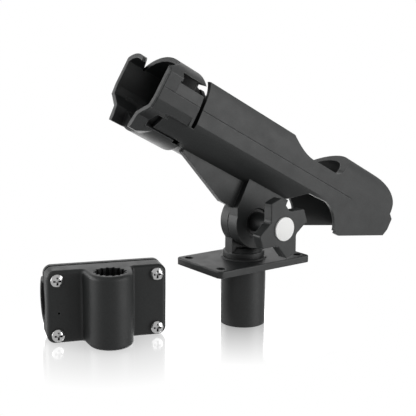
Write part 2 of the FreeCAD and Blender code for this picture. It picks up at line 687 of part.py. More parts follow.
# ---- locking collar
def flanks(side, inset):
    """Lower half of the mouth on one side, from the keel up to the side wall, as (y, z) points."""
    half = MOUTH_HALF - inset
    keel = (side * (KEEL_HALF - inset), KEEL_LOW + inset)
    step = (side * (STEP_HALF - inset), STEP_LEVEL + inset * 0.4)
    bend = (side * (half - 1.2), SIDE_BEND + inset * 0.4)
    return [keel, step, bend, (side * half, SIDE_BEND + 7)]


def skirt(rear):
    """Keyed lower half of the collar, open at the top, from the mouth back to the given end."""
    outline = flanks(-1, 0) + [(-MOUTH_HALF, WINDOW_LOW), (MOUTH_HALF, WINDOW_LOW)] + flanks(1, 0)[::-1]
    half = MOUTH_HALF - MOUTH_WALL
    bore = flanks(-1, MOUTH_WALL) + [(-half, WINDOW_LOW + 1), (half, WINDOW_LOW + 1)]
    bore += flanks(1, MOUTH_WALL)[::-1]
    full = face_yz(outline, COLLAR_FRONT).extrude(Vector(rear - COLLAR_FRONT, 0, 0))
    return full.cut(face_yz(bore, COLLAR_FRONT - 1).extrude(Vector(rear - COLLAR_FRONT + 2, 0, 0)))


def mouth_top():
    """Top of the mouth: the near wall, and the far wall that ends in a hook."""
    half = MOUTH_HALF
    hook_end = (HOOK_TIP, HOOK_TOP - HOOK_DROP)
    length = Vector(ARCH_FRONT - COLLAR_FRONT, 0, 0)
    outline = [(half, WINDOW_LOW), (half, MOUTH_TOP), ((HOOK_SHOULDER, HOOK_TOP - 0.1), hook_end)]
    outline += [(HOOK_TIP, HOOK_TOP - HOOK_DROP - HOOK_THICK)]
    half -= MOUTH_WALL
    inner_shoulder = HOOK_SHOULDER - HOOK_THICK / 2 - 0.2
    outline += [((inner_shoulder, HOOK_TOP - HOOK_THICK), (half, MOUTH_TOP - 2)), (half, WINDOW_LOW)]
    hook = face_yz(outline, COLLAR_FRONT).extrude(length)
    sweep = [(COLLAR_FRONT + HOOK_LAND, HOOK_TIP - 1), (ARCH_FRONT, MOUTH_HALF - WALL_LAP)]
    sweep.append((ARCH_FRONT, HOOK_TIP - 1))
    hook = hook.cut(face_xy(sweep, MOUTH_TOP - HOOK_THICK).extrude(Vector(0, 0, HOOK_TOP * 2)))
    near = arch_section(0).extrude(length).cut(arch_section(MOUTH_WALL).extrude(length))
    near.translate(Vector(COLLAR_FRONT - ARCH_FRONT, 0, 0))
    bow_x, bow_y = NEAR_BOW
    plan = [(COLLAR_FRONT, -MOUTH_HALF - 1), (COLLAR_FRONT, NEAR_TOP - NEAR_SETBACK)]
    plan.append(((ARCH_FRONT - bow_x, NEAR_TOP + bow_y), (ARCH_FRONT, NEAR_TOP + NEAR_SWEEP)))
    plan.append((ARCH_FRONT, -MOUTH_HALF - 1))
    near = near.common(face_xy(plan, 0).extrude(Vector(0, 0, ARCH_CROWN * 2)))
    return hook.fuse(near)


def arch_section(inset):
    half = MOUTH_HALF - inset
    outline = [(-half, WINDOW_LOW), (-half, ARCH_LEVEL - inset * 0.4)]
    outline.append(((0, ARCH_CROWN - inset), (half, ARCH_LEVEL - inset * 0.4)))
    outline.append((half, WINDOW_LOW))
    return face_yz(outline, ARCH_FRONT)


def arch():
    """Bridge over the rod."""
    length = Vector(COLLAR_REAR - ARCH_FRONT, 0, 0)
    return arch_section(0).extrude(length).cut(arch_section(MOUTH_WALL).extrude(length))


def tongue_channel():
    """Curved passage that the cradle's tongue sweeps when the collar turns."""
    front = COLLAR_FRONT + MOUTH_DEPTH
    outer = HALF_WIDTH + LOOSE_GAP
    return sector_x(CHANNEL_INNER, outer, CHANNEL_LOW, CHANNEL_HIGH, front, COLLAR_REAR + 1)


def channel_wall():
    """Inner wall of the passage, closed at the front."""
    front = COLLAR_FRONT + MOUTH_DEPTH - LINK_THICK
    inner = CHANNEL_INNER - BARREL_WALL
    wall = sector_x(inner, CHANNEL_INNER, CHANNEL_LOW, CHANNEL_HIGH, front, COLLAR_REAR)
    close = sector_x(inner, MOUTH_HALF - 0.5, CHANNEL_LOW, CHANNEL_HIGH, front, front + LINK_THICK)
    inside = flanks(-1, 1) + [(-MOUTH_HALF + 1, WINDOW_LOW), (0, WINDOW_LOW), (0, KEEL_LOW + 1)]
    close = close.common(face_yz(inside, front).extrude(Vector(LINK_THICK, 0, 0)))
    return wall.fuse(close)


def rear_wall():
    """Plate that joins the skirt and the arch to the neck."""
    front = COLLAR_REAR - BARREL_WALL
    outline = [(-MOUTH_HALF, PANEL_LOW), (-MOUTH_HALF, ARCH_LEVEL)]
    outline += [((0, ARCH_CROWN), (MOUTH_HALF, ARCH_LEVEL)), (MOUTH_HALF, PANEL_LOW)]
    plate = face_yz(outline, front).extrude(Vector(BARREL_WALL, 0, 0))
    plate = plate.fuse(rod_x(HALF_WIDTH, front, COLLAR_REAR))
    return plate.cut(rod_x(NECK_RADIUS - NECK_WALL, front - 1, COLLAR_REAR + 1))


def collar_neck():
    """Sleeve that turns in the cradle's front lip, grooved for the retaining ring."""
    sleeve = rod_x(NECK_RADIUS, COLLAR_REAR - BARREL_WALL, NECK_REAR)
    sleeve = sleeve.cut(rod_x(NECK_RADIUS - NECK_WALL, COLLAR_REAR - BARREL_WALL - 1, NECK_REAR + 1))
    groove_front = FRONT_END + LIP_DEPTH + FACE_GAP
    groove = rod_x(NECK_RADIUS + 1, groove_front, groove_front + RING_THICK + 2 * FACE_GAP)
    groove = groove.cut(rod_x(NECK_RADIUS - RING_GROOVE, groove_front - 1, groove_front + RING_THICK + 1))
    return sleeve.cut(groove)


def keel():
    """Rounded underside below the rod that overlaps the cradle behind."""
    inner = CHANNEL_INNER - BARREL_WALL
    start = COLLAR_FRONT + KEEL_SLOT
    pad = rod_x(KEEL_RADIUS, start, KEEL_REAR, 0, -KEEL_DROP)
    pad = round_edges(pad, KEEL_HEEL, lambda e: e.BoundBox.XMin > KEEL_REAR - 0.01)
    front = sector_x(inner, MOUTH_HALF * 2, -CHANNEL_LOW, CHANNEL_LOW, start, COLLAR_REAR)
    lip = sector_x(inner, MOUTH_HALF * 2, -LIP_ANGLE, LIP_ANGLE, COLLAR_REAR - 1, KEEL_REAR)
    return pad.common(front.fuse(lip)).cut(rod_x(HALF_WIDTH + LOOSE_GAP, COLLAR_REAR, KEEL_REAR + 1))


def far_side():
    """Round wall that closes the collar under its far panel."""
    front = COLLAR_FRONT + MOUTH_DEPTH
    return sector_x(FAR_SIDE_INNER, HALF_WIDTH, -FAR_SIDE_HIGH, -CHANNEL_LOW + 1, front, COLLAR_REAR)


def locking_collar():
    start = KEEL_BLEND_START
    wide = MOUTH_HALF + 1
    taper = Part.makeCone(KEEL_MOUTH_RADIUS, HALF_WIDTH, KEEL_BLEND_END - start,
                          Vector(start, 0, 0), Vector(1, 0, 0))
    low_sides = box(start, COLLAR_REAR + 1, -wide, wide, KEEL_LOW * 2, PANEL_LOW)
    body = skirt(COLLAR_REAR).cut(low_sides.cut(taper)).fuse([keel(), rear_wall(), far_side()])
    bore = rod_x(CHANNEL_INNER - BARREL_WALL, COLLAR_FRONT - 1, COLLAR_REAR - BARREL_WALL)
    half = KEEL_HALF - MOUTH_WALL
    slot = box(COLLAR_FRONT - 1, COLLAR_FRONT + KEEL_SLOT, -half, half, KEEL_LOW * 2, 0)
    body = body.fuse(channel_wall()).cut(bore.fuse([slot, tongue_channel()]))
    body = body.fuse([mouth_top(), arch(), collar_neck()])
    window = box(WINDOW_FRONT, WINDOW_REAR, -wide, -MOUTH_HALF / 2, WINDOW_LOW, WINDOW_HIGH)
    return body.cut([window, near_panel_cut(), rim_groove()])


def near_panel_cut():
    """What the near side loses behind the mouth: a panel that leans in above a seam."""
    top = WINDOW_LOW + 1
    outline = [(-MOUTH_HALF, PANEL_FOLD), (-MOUTH_HALF + PANEL_LEAN, top), (-MOUTH_HALF - 1, top)]
    outline.append((-MOUTH_HALF - 1, PANEL_FOLD))
    lean = face_yz(outline, PANEL_FRONT).extrude(Vector(COLLAR_REAR + 1 - PANEL_FRONT, 0, 0))
    seam = box(COLLAR_SEAM_FRONT, COLLAR_REAR + 1, -MOUTH_HALF - 1, -MOUTH_HALF + SEAM_DEPTH,
               PANEL_FOLD - SEAM_WIDTH / 2, PANEL_FOLD + SEAM_WIDTH / 2)
    return lean.fuse(seam)


def rim_groove():
    """Fine groove round the near side, just behind the mouth's rim."""
    start, width, depth = RIM_LINE
    core = flanks(-1, depth) + [(-MOUTH_HALF + depth, WINDOW_LOW), (0, WINDOW_LOW), (0, KEEL_LOW)]
    core = face_yz(core, start - 1).extrude(Vector(width + 2, 0, 0))
    top = arch_section(depth).extrude(Vector(width + 2, 0, 0))
    top.translate(Vector(start - 1 - ARCH_FRONT, 0, 0))
    band = box(start, start + width, -MOUTH_HALF - 1, -STEP_HALF, STEP_LEVEL, ARCH_CROWN)
    return band.cut(core.fuse(top))


def collar_seal():
    """Rubber ring round the neck that holds the collar where it is turned."""
    ring = rod_x(CHANNEL_INNER - SEAL_SETBACK, COLLAR_REAR + FACE_GAP, FRONT_END - FACE_GAP)
    return ring.cut(rod_x(NECK_RADIUS + LOOSE_GAP, COLLAR_REAR - 1, FRONT_END + 1))


def retaining_ring():
    """Open steel ring in the neck's groove, behind the cradle's front lip."""
    front = FRONT_END + LIP_DEPTH + 2 * FACE_GAP
    inner = NECK_RADIUS - RING_GROOVE + RUN_GAP
    rear = front + RING_THICK
    ring = rod_x(inner + RING_HEIGHT, front, rear).cut(rod_x(inner, front - 1, rear + 1))
    half = math.radians(RING_OPENING / 2)
    reach = HALF_WIDTH * 2
    wedge = face_yz([(0, 0), (-reach * math.tan(half), reach), (reach * math.tan(half), reach)], front - 1)
    return ring.cut(wedge.extrude(Vector(RING_THICK + 2, 0, 0)))


# ---- rail bracket
def screw_places():
    return [(x, z) for x in (-SCREW_X / 2, SCREW_X / 2) for z in (-SCREW_Z / 2, SCREW_Z / 2)]


def lies_at(edge, y):
    return abs(edge.BoundBox.YMin - y) < 0.01 and abs(edge.BoundBox.YMax - y) < 0.01


def jaw_plate(y_split, y_face, edge_round):
    low, high = min(y_split, y_face), max(y_split, y_face)
    half_height = BRACKET_HEIGHT / 2
    plate = box(-BRACKET_WIDTH / 2, BRACKET_WIDTH / 2, low, high, -half_height, half_height)
    plate = round_edges(plate, BRACKET_CORNER, lambda e: abs(e.tangentAt(e.FirstParameter).y) > 0.9)
    return round_edges(plate, edge_round, lambda e: lies_at(e, y_face))


def bracket_front():
    split = -JAW_SPLIT / 2
    face = split - FRONT_JAW_THICK
    half_height = BRACKET_HEIGHT / 2
    plate = box(-BRACKET_WIDTH / 2, BRACKET_WIDTH / 2, face, split, -half_height, half_height)
    plate = round_edges(plate, BRACKET_CORNER, lambda e: abs(e.tangentAt(e.FirstParameter).y) > 0.9)
    axis_y = face - SOCKET_REACH
    radius = SOCKET_DIA / 2
    barrel = rod_z(radius, -half_height, half_height, 0, axis_y)
    reach = math.hypot(SOCKET_BASE, SOCKET_REACH)
    tangent = math.atan2(SOCKET_REACH, SOCKET_BASE) - math.acos(radius / reach)
    touch_x, touch_y = radius * math.cos(tangent), axis_y + radius * math.sin(tangent)
    cheeks = [(-SOCKET_BASE, face + SADDLE_WALL), (-SOCKET_BASE, face), (-touch_x, touch_y)]
    cheeks += [(-x, y) for x, y in cheeks[::-1]]
    neck = face_xy(cheeks, -half_height).extrude(Vector(0, 0, BRACKET_HEIGHT))
    body = plate.fuse([barrel, neck]).removeSplitter()
    body = round_edges(body, SOCKET_FILLET, lambda e: at_cheek(e, face))
    body = round_edges(body, FRONT_JAW_ROUND,
                       lambda e: e.BoundBox.YMax < face + 0.01 and on_outline(e, half_height))
    bore = spline_prism(SPLINE_ROOT_DIA, SPLINE_DEPTH, -half_height - 1, half_height + 1)
    bore.translate(Vector(0, axis_y, 0))
    body = body.cut(bore)
    saddle = RAIL_RADIUS + LINER_THICK
    body = body.cut(rod_x(saddle, -BRACKET_WIDTH, BRACKET_WIDTH, split - FRONT_SADDLE + saddle, 0))
    for x, z in screw_places():
        body = body.cut(rod_y(SCREW_DIA / 2 + SLIDE_GAP, face - 1, split + 1, x, z))
    drain = rod_y(DRAIN_DIA / 2, face - 1, face + FRONT_JAW_THICK / 2, -SCREW_X / 2 + 1, -DRAIN_DROP)
    return body.cut(drain)


def at_cheek(edge, face):
    """True for the two upright edges where the socket's cheeks meet the jaw."""
    box_of = edge.BoundBox
    upright = box_of.XLength < 0.01 and box_of.YLength < 0.01
    return upright and abs(abs(box_of.XMin) - SOCKET_BASE) < 0.01 and abs(box_of.YMin - face) < 0.01


def on_outline(edge, half_height):
    """True for the edges round the bracket's front view, and not for the ones on the socket's side."""
    box_of = edge.BoundBox
    flat_end = box_of.ZLength < 0.01 and abs(abs(box_of.ZMin) - half_height) < 0.01
    return flat_end or (box_of.YLength < 0.01 and abs(box_of.XMin) + abs(box_of.XMax) > BRACKET_WIDTH / 2)


def bracket_rear():
    split = JAW_SPLIT / 2
    face = split + REAR_JAW_THICK
    plate = jaw_plate(split, face, REAR_JAW_ROUND)
    saddle = RAIL_RADIUS + LINER_THICK
    wall = saddle + SADDLE_WALL
    half = BRACKET_WIDTH / 2
    axis_y = split + REAR_SADDLE - saddle
    trough = rod_x(wall, -half, half, axis_y, 0).common(box(-half, half, split, 2 * wall, -wall, wall))
    body = plate.fuse([trough, box(-half, half, split, axis_y, -wall, wall)])
    body = body.cut(rod_x(saddle, -half - 1, half + 1, axis_y, 0))
    body = body.cut(box(-half - 1, half + 1, split - 1, axis_y, -saddle, saddle))
    for x, z in screw_places():
        body = body.cut(rod_y(SCREW_DIA / 2 + SLIDE_GAP, split - 1, face + 1, x, z))
        body = body.cut(hexagon_y(NUT_AF + 2 * RUN_GAP, face - NUT_THICK, face + 1, x, z))
    return body


def liner(y_axis, y_low, y_high):
    """Rubber strip that lines one saddle, cut short of the split."""
    length = BRACKET_WIDTH - 2 * LINER_SETBACK
    strip = rod_x(RAIL_RADIUS + LINER_THICK - FACE_GAP, -length / 2, length / 2, y_axis, 0)
    strip = strip.cut(rod_x(RAIL_RADIUS, -length, length, y_axis, 0))
    return strip.common(box(-length, length, y_low, y_high, -RAIL_RADIUS * 2, RAIL_RADIUS * 2))


def rail_liner_front():
    split = -JAW_SPLIT / 2
    axis_y = split - FRONT_SADDLE + RAIL_RADIUS + LINER_THICK
    return liner(axis_y, split - FRONT_SADDLE - 1, split - LINER_THICK)


def rail_liner_rear():
    split = JAW_SPLIT / 2
    axis_y = split + REAR_SADDLE - RAIL_RADIUS - LINER_THICK
    return liner(axis_y, axis_y, split + REAR_SADDLE + 1)


def clamp_screws():
    face = -JAW_SPLIT / 2 - FRONT_JAW_THICK
    screws = []
    for x, z in screw_places():
        rim = face - SCREW_HEAD_HEIGHT + SCREW_CROWN
        crown = face - SCREW_HEAD_HEIGHT
        outline = [(0, face), (SCREW_HEAD_RADIUS, face), (SCREW_HEAD_RADIUS, rim)]
        outline.append(((SCREW_HEAD_RADIUS * 0.72, crown + SCREW_CROWN * 0.22), (0, crown)))
        head = face_xy(outline).revolve(Vector(0, 0, 0), Vector(0, 1, 0), 360)
        for long_x in (True, False):
            half_x = (CROSS_LENGTH if long_x else CROSS_WIDTH) / 2
            half_z = (CROSS_WIDTH if long_x else CROSS_LENGTH) / 2
            head = head.cut(box(-half_x, half_x, crown - 1, crown + CROSS_DEPTH, -half_z, half_z))
        head.translate(Vector(x, 0, z))
        screws.append(head.fuse(rod_y(SCREW_DIA / 2, face, face + SCREW_LENGTH, x, z)).removeSplitter())
    return Part.makeCompound(screws)


def clamp_nuts():
    face = JAW_SPLIT / 2 + REAR_JAW_THICK
    nuts = []
    for x, z in screw_places():
        nut = hexagon_y(NUT_AF, face - NUT_THICK, face, x, z)
        nuts.append(nut.cut(rod_y(SCREW_DIA / 2 + FACE_GAP, face - NUT_THICK - 1, face + 1, x, z)))
    return Part.makeCompound(nuts)


# ---- build
def build():
    os.makedirs("parts", exist_ok=True)
    save("deck_socket", deck_socket())
    save("post", post())
    save("seat_washer", seat_washer())
    save("pivot_bolt", pivot_bolt())
    save("friction_disc", friction_disc())
    save("thrust_washer", thrust_washer())
    save("disc_springs", disc_springs())
    save("star_knob", star_knob())
    save("knob_insert", knob_insert())
    save("knob_cap", knob_cap())
    save("cradle_body", to_world(cradle_body()))
    save("locking_collar", to_world(collar_to_cradle(locking_collar())))
    save("collar_ring", to_world(collar_to_cradle(retaining_ring())))
    save("collar_seal", to_world(collar_to_cradle(collar_seal())))
    for name, shape in (("bracket_front", bracket_front()), ("bracket_rear", bracket_rear()),
                        ("rail_liner_front", rail_liner_front()), ("rail_liner_rear", rail_liner_rear()),
                        ("clamp_screws", clamp_screws()), ("clamp_nuts", clamp_nuts())):
        save(name, bracket_to_world(shape))


build()
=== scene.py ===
"""Looks for the adjustable rod holder: its finishes and a small studio, round the fixed CAD frame.

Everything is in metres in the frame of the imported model: origin on the tube axis at the underside of the
deck plate, +X towards the butt of the rod, -Y towards the star knob, +Z up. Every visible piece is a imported
node, so this script makes only the finishes, the floor, the lights and the camera.
"""
import json
import math

import bpy
from mathutils import Matrix, Vector


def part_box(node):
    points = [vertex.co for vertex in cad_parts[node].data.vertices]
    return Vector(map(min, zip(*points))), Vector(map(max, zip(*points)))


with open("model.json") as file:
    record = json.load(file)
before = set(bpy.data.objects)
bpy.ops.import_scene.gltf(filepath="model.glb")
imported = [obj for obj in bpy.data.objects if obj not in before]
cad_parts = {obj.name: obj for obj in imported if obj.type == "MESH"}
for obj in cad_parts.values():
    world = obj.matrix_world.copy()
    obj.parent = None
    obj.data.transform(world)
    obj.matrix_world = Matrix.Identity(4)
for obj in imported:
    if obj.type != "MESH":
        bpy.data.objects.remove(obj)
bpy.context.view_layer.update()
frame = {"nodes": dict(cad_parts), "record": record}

MM = 0.001              # metres in a millimetre
PER_MM = 1 / MM         # a noise of scale PER_MM / 3 has blotches about 3 mm across

# ---- camera: angles in degrees, places in millimetres
VIEW_AZIMUTH = -37.13
VIEW_ELEVATION = 11.28
VIEW_ROLL = 0.52
VIEW_DISTANCE = 653.8
VIEW_TARGET = (-33.4, 0.0, 45.06)
LENS = 79.6
SENSOR = 36.0
CLIP_START, CLIP_END = 0.01, 50.0       # metres

# ---- finish of the moulded nylon, in millimetres
NYLON_GRAIN = 0.55      # real spark-eroded grain is about 0.1 mm, drawn as coarse as it needs to show
FIBRE_SPECK = 0.7       # glass fibre at the skin, also drawn coarser than real
EDGE_ROUND = 0.8        # the broken edge that a moulding tool leaves
PAINTED_SHADE_REACH = 25.0     # how far a hollow looks for walls that keep light off it, to be painted darker as shade

# ---- finish of the other pieces, in millimetres
CAP_EDGE_ROUND = 0.3
SCREW_EDGE_ROUND = 0.25
RECESS_REACH = 1.8      # reach of the painted shade in the screws' cross recess, as for the nylon's hollows

# ---- studio: lengths in metres, angles in degrees
FLOOR_LEVEL = -0.045
FLOOR_HALF = 6.0
AIM = Vector((-0.03, 0.0, 0.05))
AMBIENT = 0.42          # strength of the surroundings, as the object and the floor's gloss see them
CONTACT_REACH = 0.025   # how far from a foot the painted contact shadow reaches on the board
CONTACT_SHADE = 0.75    # brightness that the painted contact shadow leaves right under a foot
MIRROR_REACH = 0.092    # distance from a foot's centre at which the board's reflection has faded out
MIRROR_ROUGHNESS = 0.12
FOOT_MIRRORS = (("deck_socket", 1.7), ("bracket_front", 1.0))       # node, strength of its reflection
SOFTBOXES = (
    # name, azimuth, elevation, distance, side, watts
    ("front_right_box", 32.0, 4.0, 1.5, 1.1, 9.5),
    ("right_box", 60.0, 28.0, 1.5, 1.0, 3.5),
    ("left_box", -120.0, 8.0, 1.5, 1.1, 8.5),
    ("back_left_box", -152.0, 10.0, 1.5, 1.1, 7.0),
    ("backdrop", 143.0, 10.0, 1.6, 1.3, 5.0),
    ("floor_bounce", 140.0, -36.0, 1.4, 1.3, 13.0),
)


def direction(azimuth, elevation):
    """Unit vector towards a place at that azimuth (0 is -Y, +90 is +X) and elevation, in degrees."""
    turn, lift = math.radians(azimuth), math.radians(elevation)
    return Vector((math.sin(turn) * math.cos(lift), -math.cos(turn) * math.cos(lift), math.sin(lift)))


def facing(target, back, distance):
    """Placement at that distance from the target along back, looking at the target."""
    return Matrix.Translation(target + back * distance) @ back.to_track_quat("Z", "Y").to_matrix().to_4x4()


def add_object(name, data):
    """Puts a camera, light or mesh into the scene as one object."""
    made = bpy.data.objects.new(name, data)
    bpy.context.scene.collection.objects.link(made)
    return made


def make_camera():
    """A long lens low over the floor, from the knob's side and the mouth's end."""
    data = bpy.data.cameras.new("studio_camera")
    data.lens, data.sensor_width = LENS, SENSOR
    data.clip_start, data.clip_end = CLIP_START, CLIP_END
    camera = add_object("studio_camera", data)
    place = facing(Vector(VIEW_TARGET) * MM, direction(VIEW_AZIMUTH, VIEW_ELEVATION), VIEW_DISTANCE * MM)
    camera.matrix_world = place @ Matrix.Rotation(math.radians(VIEW_ROLL), 4, "Z")
    bpy.context.scene.camera = camera


# ---- materials
# In a Mix node for colours, input 0 is the factor, 6 and 7 are the colours, and output 2 is the result.
MIX_FACTOR, MIX_FIRST, MIX_SECOND, MIX_RESULT = 0, 6, 7, 2


def linear(hex_colour):
    """sRGB hex to a linear RGBA tuple."""
    parts = [int(hex_colour[i:i + 2], 16) / 255 for i in (1, 3, 5)]
    return tuple(c / 12.92 if c <= 0.04045 else ((c + 0.055) / 1.055) ** 2.4 for c in parts) + (1.0,)


def fill(made, inputs):
    """Sets the inputs of a node, or links each one whose value is another node's output."""
    for name, value in dict(inputs).items():
        if isinstance(value, bpy.types.NodeSocket):
            made.id_data.links.new(value, made.inputs[name])
        else:
            made.inputs[name].default_value = value


def node(tree, kind, inputs=(), output=0, **settings):
    """Adds one node with its settings and inputs; returns the named output, or the node if it has none."""
    made = tree.nodes.new("ShaderNode" + kind)
    for name, value in settings.items():
        setattr(made, name, value)
    fill(made, inputs)
    return made.outputs[output] if made.outputs else made


def new_material(name):
    """An empty material with its output, a principled shader and Object coordinates."""
    made = bpy.data.materials.new(name)
    made.use_nodes = True
    tree = made.node_tree
    tree.nodes.clear()
    surface = node(tree, "BsdfPrincipled")
    node(tree, "OutputMaterial", {"Surface": surface})
    return made, tree, surface.node, node(tree, "TexCoord", output="Object")


def glass_filled_nylon():
    """Injection-moulded black nylon with glass fibre: satin, with its edges rubbed grey and painted lighter
    as a highlight.

    A rounded normal against the true one finds the edges, and nearby walls find the hollows, which are
    painted blacker as shade.
    """
    made, tree, shader, place = new_material("glass_filled_nylon")
    soft = node(tree, "Bevel", {"Radius": EDGE_ROUND * MM}, samples=4)
    sharp = node(tree, "NewGeometry", output="Normal")
    turn = node(tree, "VectorMath", {0: soft, 1: sharp}, "Value", operation="DOT_PRODUCT")
    # edges, where the rounded normal turns from the true one: grey wear and a painted highlight
    worn_and_lit_edges = node(tree, "MapRange", {"Value": turn, "From Min": 0.985, "From Max": 0.86})
    patches = node(tree, "TexNoise", {"Vector": place, "Scale": PER_MM / 3.0})
    patches = node(tree, "MapRange", {"Value": patches, "From Min": 0.35, "From Max": 0.7, "To Min": 0.35})
    edge_wear_and_highlight = node(tree, "Math", {0: worn_and_lit_edges, 1: patches}, operation="MULTIPLY")
    flow = node(tree, "TexNoise", {"Vector": place, "Scale": PER_MM / 30.0})
    flow = node(tree, "MapRange", {"Value": flow, "From Min": 0.3, "From Max": 0.7})
    fibre = node(tree, "TexNoise", {"Vector": place, "Scale": PER_MM / FIBRE_SPECK, "Detail": 1.0})
    fibre = node(tree, "MapRange", {"Value": fibre, "From Min": 0.35, "From Max": 0.7, "To Max": 0.6})
    # painted shade: hollows, found by nearby walls, are darkened towards near black
    painted_hollow_shade = node(tree, "AmbientOcclusion", {"Distance": PAINTED_SHADE_REACH * MM}, "AO", samples=8)
    painted_hollow_shade = node(tree, "MapRange", {"Value": painted_hollow_shade, "From Min": 0.25, "From Max": 0.85})
    base = node(tree, "Mix", {MIX_FACTOR: flow, MIX_FIRST: linear("#1a1c1c"), MIX_SECOND: linear("#1d1f1f")},
                MIX_RESULT, data_type="RGBA")
    base = node(tree, "Mix", {MIX_FACTOR: fibre, MIX_FIRST: base, MIX_SECOND: linear("#2b2d2d")},
                MIX_RESULT, data_type="RGBA")
    # edges lightened towards grey: wear and a painted highlight
    base = node(tree, "Mix", {MIX_FACTOR: edge_wear_and_highlight, MIX_FIRST: base, MIX_SECOND: linear("#6c6e6e")},
                MIX_RESULT, data_type="RGBA")
    # painted shade mixed in: near black in the hollows
    base = node(tree, "Mix", {MIX_FACTOR: painted_hollow_shade, MIX_FIRST: linear("#050606"), MIX_SECOND: base},
                MIX_RESULT, data_type="RGBA")
    grain = node(tree, "TexNoise", {"Vector": place, "Scale": PER_MM / NYLON_GRAIN, "Roughness": 0.6})
    bump = node(tree, "Bump", {"Strength": 0.45, "Distance": 0.06 * MM, "Height": grain, "Normal": soft})
    sheen = node(tree, "TexNoise", {"Vector": place, "Scale": PER_MM / 9.0, "Detail": 3.0})
    roughness = node(tree, "MapRange", {"Value": sheen, "From Min": 0.3, "From Max": 0.7,
                                        "To Min": 0.44, "To Max": 0.52})
    fill(shader, {"Base Color": base, "Roughness": roughness, "Normal": bump, "IOR": 1.53})
    return made


def white_acetal_cap():
    """Moulded white acetal cap: smooth, faintly warm, softly shiny."""
    made, tree, shader, place = new_material("white_acetal_cap")
    soft = node(tree, "Bevel", {"Radius": CAP_EDGE_ROUND * MM}, samples=4)
    cloud = node(tree, "TexNoise", {"Vector": place, "Scale": PER_MM / 6.0})
    base = node(tree, "Mix", {MIX_FACTOR: cloud, MIX_FIRST: linear("#f6f6f4"), MIX_SECOND: linear("#fbfbfa")},
                MIX_RESULT, data_type="RGBA")
    pitting = node(tree, "TexNoise", {"Vector": place, "Scale": PER_MM / 0.8})
    bump = node(tree, "Bump", {"Strength": 0.1, "Distance": 0.03 * MM, "Height": pitting, "Normal": soft})
    roughness = node(tree, "MapRange", {"Value": cloud, "From Min": 0.3, "From Max": 0.7,
                                        "To Min": 0.32, "To Max": 0.42})
    fill(shader, {"Base Color": base, "Roughness": roughness, "Normal": bump, "IOR": 1.48})
    return made


def bright_plated_steel():
    """Bright plated pan-head screws: a near mirror with faint turning marks, and painted shade in the recess.
    """
    made, tree, shader, place = new_material("bright_plated_steel")
    soft = node(tree, "Bevel", {"Radius": SCREW_EDGE_ROUND * MM}, samples=4)
    marks = node(tree, "TexNoise", {"Vector": place, "Scale": PER_MM / 0.5, "Detail": 3.0})
    # painted shade: the cross recess, found by nearby walls, is darkened to near black
    painted_recess_shade = node(tree, "AmbientOcclusion", {"Distance": RECESS_REACH * MM}, "AO", samples=8)
    painted_recess_shade = node(tree, "MapRange", {"Value": painted_recess_shade, "From Min": 0.35, "From Max": 0.75})
    base = node(tree, "Mix", {MIX_FACTOR: marks, MIX_FIRST: linear("#ececec"), MIX_SECOND: linear("#fafafa")},
                MIX_RESULT, data_type="RGBA")
    base = node(tree, "Mix", {MIX_FACTOR: painted_recess_shade, MIX_FIRST: linear("#0c0c0c"), MIX_SECOND: base},
                MIX_RESULT, data_type="RGBA")
    bump = node(tree, "Bump", {"Strength": 0.12, "Distance": 0.03 * MM, "Height": marks, "Normal": soft})
    polish = node(tree, "TexNoise", {"Vector": place, "Scale": PER_MM / 2.0})
    roughness = node(tree, "MapRange", {"Value": polish, "From Min": 0.3, "From Max": 0.7,
                                        "To Min": 0.1, "To Max": 0.22})
    fill(shader, {"Base Color": base, "Roughness": roughness, "Normal": bump, "Metallic": 1.0})
    return made


def turned_stainless_steel():
    """Turned stainless steel: grey metal with fine lay marks round the bolt's axis."""
    made, tree, shader, place = new_material("turned_stainless_steel")
    lay = node(tree, "Mapping", {"Vector": place, "Scale": (1.0, 14.0, 1.0)})
    marks = node(tree, "TexNoise", {"Vector": lay, "Scale": PER_MM / 2.0, "Detail": 4.0, "Roughness": 0.7})
    base = node(tree, "Mix", {MIX_FACTOR: marks, MIX_FIRST: linear("#a4a5a4"), MIX_SECOND: linear("#c6c7c6")},
                MIX_RESULT, data_type="RGBA")
    bump = node(tree, "Bump", {"Strength": 0.2, "Distance": 0.02 * MM, "Height": marks})
    roughness = node(tree, "MapRange", {"Value": marks, "From Min": 0.3, "From Max": 0.7,
                                        "To Min": 0.22, "To Max": 0.36})
    fill(shader, {"Base Color": base, "Roughness": roughness, "Normal": bump, "Metallic": 1.0})
    return made


def machined_brass():
    """Machined brass insert: warm yellow metal with knurl-fine marks."""
    made, tree, shader, place = new_material("machined_brass")
    marks = node(tree, "TexNoise", {"Vector": place, "Scale": PER_MM / 0.6, "Detail": 3.0})
    base = node(tree, "Mix", {MIX_FACTOR: marks, MIX_FIRST: linear("#a98242"), MIX_SECOND: linear("#c8a45c")},
                MIX_RESULT, data_type="RGBA")
    bump = node(tree, "Bump", {"Strength": 0.2, "Distance": 0.03 * MM, "Height": marks})
    roughness = node(tree, "MapRange", {"Value": marks, "From Min": 0.3, "From Max": 0.7,
                                        "To Min": 0.24, "To Max": 0.38})
    fill(shader, {"Base Color": base, "Roughness": roughness, "Normal": bump, "Metallic": 1.0})
    return made


def black_acetal():
    """Turned black acetal washer: waxy near-black with faint lathe marks."""
    made, tree, shader, place = new_material("black_acetal")
    cloud = node(tree, "TexNoise", {"Vector": place, "Scale": PER_MM / 3.0})
    base = node(tree, "Mix", {MIX_FACTOR: cloud, MIX_FIRST: linear("#101111"), MIX_SECOND: linear("#1a1b1b")},
                MIX_RESULT, data_type="RGBA")
    marks = node(tree, "TexNoise", {"Vector": place, "Scale": PER_MM / 0.4})
    bump = node(tree, "Bump", {"Strength": 0.15, "Distance": 0.03 * MM, "Height": marks})
    roughness = node(tree, "MapRange", {"Value": cloud, "From Min": 0.3, "From Max": 0.7,
                                        "To Min": 0.4, "To Max": 0.5})
    fill(shader, {"Base Color": base, "Roughness": roughness, "Normal": bump, "IOR": 1.48})
    return made


